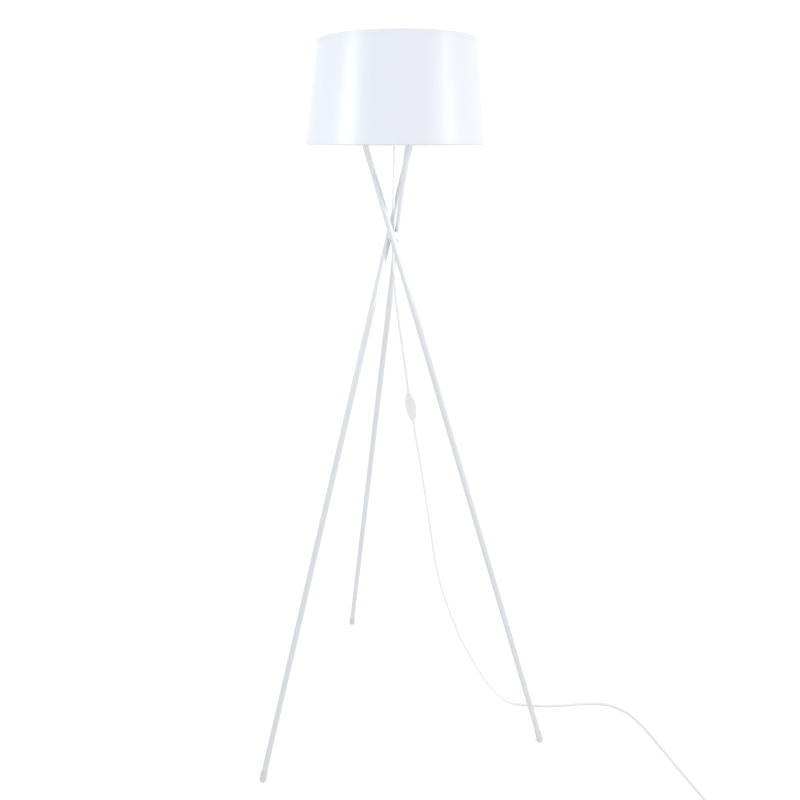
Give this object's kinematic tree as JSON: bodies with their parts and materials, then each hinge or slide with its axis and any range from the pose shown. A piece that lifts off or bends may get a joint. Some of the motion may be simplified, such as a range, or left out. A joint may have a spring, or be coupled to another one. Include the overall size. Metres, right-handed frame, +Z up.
{
  "type": "tripod floor lamp",
  "caption": "Floor lamp whose straight tube legs cross under a drum shade, with a screw-in bulb, a hanging cord, an inline rocker switch and a flat plug.",
  "frame": {"origin": "on the axis of the shade and lampholder, at the level of the floor that the three feet stand on", "axes": "+Z up along the lamp's axis, +Y towards the back foot, +X to the right as seen from the front"},
  "size_m": [0.934, 0.9294, 1.575],
  "materials": {
    "leg_paint": "satin white powder coat",
    "bracket_paint": "satin white powder coat",
    "foot_plastic": "matt, slightly soft",
    "zinc_steel": "zinc plated",
    "cord_jacket": "smooth PVC jacket",
    "relief_plastic": "soft moulded PVC",
    "holder_plastic": "moulded, satin gloss",
    "ceramic_white": "unglazed",
    "brass_contact": "stamped",
    "lamp_metal": "nickel plated",
    "black_insulator": "glassy",
    "bulb_plastic": "smooth",
    "board_white": "solder mask with yellow light chips",
    "opal_globe": "frosted opal",
    "shade_cloth": "fine satin weave bonded to film",
    "shade_liner": "smooth white film",
    "shade_tape": "narrow folded tape",
    "switch_plastic": "moulded, satin gloss",
    "tie_black": "ribbed strap",
    "plug_nickel": "nickel plated"
  },
  "bodies": {
    "frame": {"leg_lower_left": "leg_paint", "leg_lower_right": "leg_paint", "leg_lower_back": "leg_paint", "leg_upper_left": "leg_paint", "leg_upper_right": "leg_paint", "leg_upper_back": "leg_paint", "leg_joint_sockets": "zinc_steel", "leg_joint_studs": "zinc_steel", "leg_end_plugs": "zinc_steel", "foot_cap_left": "foot_plastic", "foot_cap_right": "foot_plastic", "foot_cap_back": "foot_plastic", "crossing_spacer": "leg_paint", "top_bracket": "bracket_paint", "bracket_screws": "zinc_steel", "threaded_nipple": "zinc_steel", "nipple_nut": "zinc_steel", "lock_washer": "zinc_steel", "cord_relief": "relief_plastic", "inner_lead": "cord_jacket", "lead_cores": "cord_jacket", "holder_cap": "bracket_paint", "cord_grip": "holder_plastic", "holder_sleeve": "holder_plastic", "holder_insert": "ceramic_white", "terminal_screws": "brass_contact", "holder_thread_shell": "brass_contact", "holder_contact": "brass_contact", "shade_ring_nut": "holder_plastic", "switch_base": "switch_plastic", "switch_cover": "switch_plastic", "switch_pin": "zinc_steel", "switch_terminals": "brass_contact", "switch_blade": "brass_contact", "switch_screws": "zinc_steel", "cord_upper": "cord_jacket", "cord_lower": "cord_jacket", "cord_coil": "cord_jacket", "coil_tie": "tie_black", "plug_body": "switch_plastic", "plug_relief": "relief_plastic", "plug_pins": "plug_nickel"},
    "shade": {"shade_skin": "shade_cloth", "shade_liner": "shade_liner", "shade_top_wire": "bracket_paint", "shade_bottom_wire": "bracket_paint", "shade_top_trim": "shade_tape", "shade_bottom_trim": "shade_tape", "shade_spider_arms": "bracket_paint", "shade_fitter_ring": "bracket_paint"},
    "rocker": {"switch_rocker": "switch_plastic"},
    "bulb_tip": {"bulb_contact": "lamp_metal"},
    "bulb": {"bulb_insulator": "black_insulator", "bulb_cap": "lamp_metal", "bulb_housing": "bulb_plastic", "led_board": "board_white", "bulb_globe": "opal_globe"}
  },
  "joints": [
    {"name": "shade_turn", "type": "hinge", "parent": "frame", "child": "shade", "pos_m": [0, 0, 1.4411], "axis": [0, 0, 1], "continuous": true},
    {"name": "rocker_tilt", "type": "hinge", "parent": "frame", "child": "rocker", "pos_m": [0.04825, -0.00091, 0.785], "axis": [-0.9698, 0.171, -0.1736], "range_deg": [0, 14]},
    {"name": "bulb_lift", "type": "slide", "parent": "frame", "child": "bulb_tip", "axis": [0, 0, 1], "range_m": [0, 0.01088]},
    {"name": "bulb_turn", "type": "hinge", "parent": "bulb_tip", "child": "bulb", "pos_m": [0, 0, 1.46], "axis": [0, 0, 1], "range_deg": [0, 1080]}
  ],
  "couplings": [
    {"joint": "bulb_turn", "follows": "bulb_lift", "rad_per_m": 1731.6}
  ]
}
